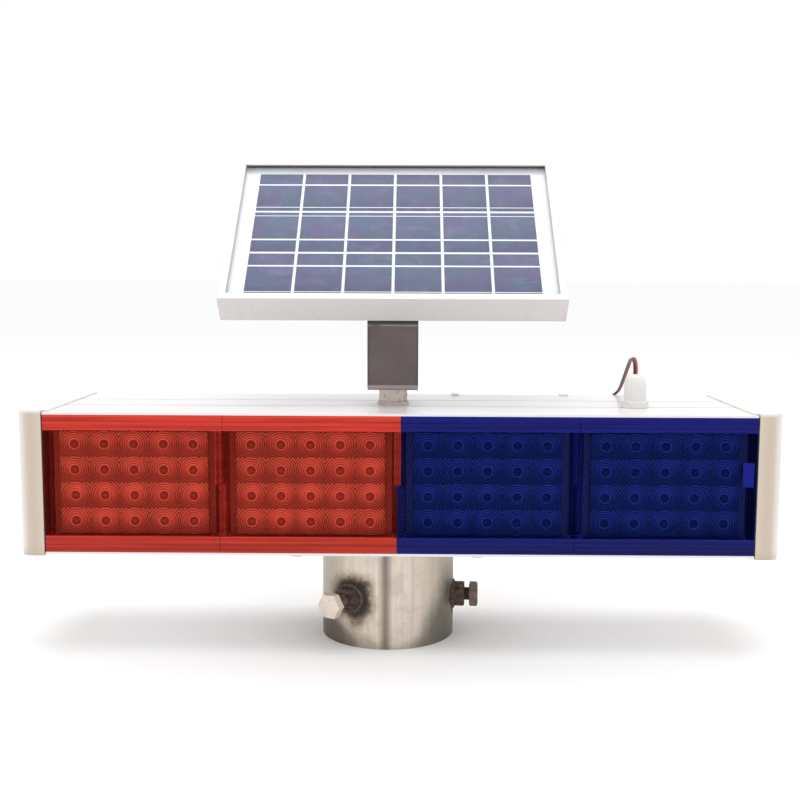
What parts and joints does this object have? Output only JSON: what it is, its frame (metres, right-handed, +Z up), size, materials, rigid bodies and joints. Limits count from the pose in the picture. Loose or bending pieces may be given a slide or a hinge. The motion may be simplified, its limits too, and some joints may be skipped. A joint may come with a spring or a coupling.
{
  "type": "solar warning light",
  "caption": "Pole-mounted solar flashing warning light: a long lamp housing with red and blue lenses, end caps, a pole sleeve below and a tilted solar panel on a swivel bracket above.",
  "frame": {"origin": "centre of the pole sleeve's lower mouth, on the sleeve's axis", "axes": "+Z up along the pole, +X along the lamp housing to the viewer's right when facing the front lamps, -Y out of the front lamps"},
  "size_m": [0.628, 0.1842, 0.4148],
  "materials": {
    "rail_paint": "satin white powder coat on aluminium",
    "cap_plastic": "warm off-white moulded plastic, fine grain",
    "gasket_rubber": "matte",
    "zinc_steel": "bright zinc plate",
    "red_cover": "clear red moulding",
    "blue_cover": "clear blue moulding",
    "red_lens": "clear ringed lens moulding",
    "blue_lens": "clear ringed lens moulding",
    "tray_plastic": "dark moulded plastic",
    "circuit_board": "solder mask",
    "battery_wrap": "shrink sleeve",
    "black_plastic": "fine grain",
    "sleeve_steel": "worn, lengthwise brushed, heat tinted",
    "burnt_steel": "weld scorched",
    "bolt_steel": "stained zinc plate",
    "bracket_steel": "dull dark steel",
    "frame_aluminium": "natural anodised",
    "panel_glass": "low-iron glass",
    "cell_silicon": "polycrystalline silicon with silver contact lines",
    "backsheet_film": "white film",
    "white_nylon": "white nylon",
    "lead_jacket": "twin flat lead, one red and one black core"
  },
  "bodies": {
    "housing": {"top_rail": "rail_paint", "bottom_rail": "rail_paint", "end_cap_left": "cap_plastic", "end_cap_right": "cap_plastic", "gasket_left": "gasket_rubber", "gasket_right": "gasket_rubber", "end_cap_screws": "zinc_steel", "cover_front_1": "red_cover", "cover_front_2": "red_cover", "cover_front_3": "blue_cover", "cover_front_4": "blue_cover", "cover_rear_1": "red_cover", "cover_rear_2": "red_cover", "cover_rear_3": "blue_cover", "cover_rear_4": "blue_cover", "lens_plate_front_1": "red_lens", "lens_plate_front_2": "red_lens", "lens_plate_front_3": "blue_lens", "lens_plate_front_4": "blue_lens", "lens_plate_rear_1": "red_lens", "lens_plate_rear_2": "red_lens", "lens_plate_rear_3": "blue_lens", "lens_plate_rear_4": "blue_lens", "lamp_tray_front_1": "tray_plastic", "lamp_tray_front_2": "tray_plastic", "lamp_tray_front_3": "tray_plastic", "lamp_tray_front_4": "tray_plastic", "lamp_tray_rear_1": "tray_plastic", "lamp_tray_rear_2": "tray_plastic", "lamp_tray_rear_3": "tray_plastic", "lamp_tray_rear_4": "tray_plastic", "led_boards_front": "circuit_board", "led_boards_rear": "circuit_board", "battery": "battery_wrap", "battery_strap": "zinc_steel", "controller_board": "circuit_board", "switch_body": "black_plastic", "pole_sleeve": "sleeve_steel", "flange_fasteners": "zinc_steel", "weld_nuts": "burnt_steel", "swivel_bolt": "zinc_steel", "swivel_nuts": "zinc_steel", "cable_gland": "white_nylon", "lead_clips": "white_nylon", "housing_lead": "lead_jacket"},
    "panel_head": {"bracket": "bracket_steel", "frame_lower": "frame_aluminium", "frame_upper": "frame_aluminium", "frame_left": "frame_aluminium", "frame_right": "frame_aluminium", "panel_glass": "panel_glass", "solar_cells": "cell_silicon", "backsheet": "backsheet_film", "panel_screws": "zinc_steel", "junction_box": "black_plastic", "panel_lead": "lead_jacket"},
    "set_screw_left": {"set_screw_left": "bolt_steel"},
    "set_screw_right": {"set_screw_right": "bolt_steel"},
    "set_screw_rear": {"set_screw_rear": "bolt_steel"},
    "switch_rocker": {"switch_rocker": "black_plastic"}
  },
  "joints": [
    {"name": "panel_swivel", "type": "hinge", "parent": "housing", "child": "panel_head", "pos_m": [0.004, 0, 0.2], "axis": [0, 0, 1], "range_deg": [-90, 90], "deforming": ["panel_lead"]},
    {"name": "set_screw_left_slide", "type": "slide", "parent": "housing", "child": "set_screw_left", "axis": [-0.5446, -0.8387, 0], "range_m": [-0.012, 0.008]},
    {"name": "set_screw_right_slide", "type": "slide", "parent": "housing", "child": "set_screw_right", "axis": [0.9986, -0.0523, 0], "range_m": [-0.0035, 0.008]},
    {"name": "set_screw_rear_slide", "type": "slide", "parent": "housing", "child": "set_screw_rear", "axis": [-0.454, 0.891, 0], "range_m": [-0.0035, 0.008]},
    {"name": "switch_rock", "type": "hinge", "parent": "housing", "child": "switch_rocker", "pos_m": [0.21, 0, 0.086], "axis": [0, 1, 0], "range_deg": [-20, 0]}
  ]
}
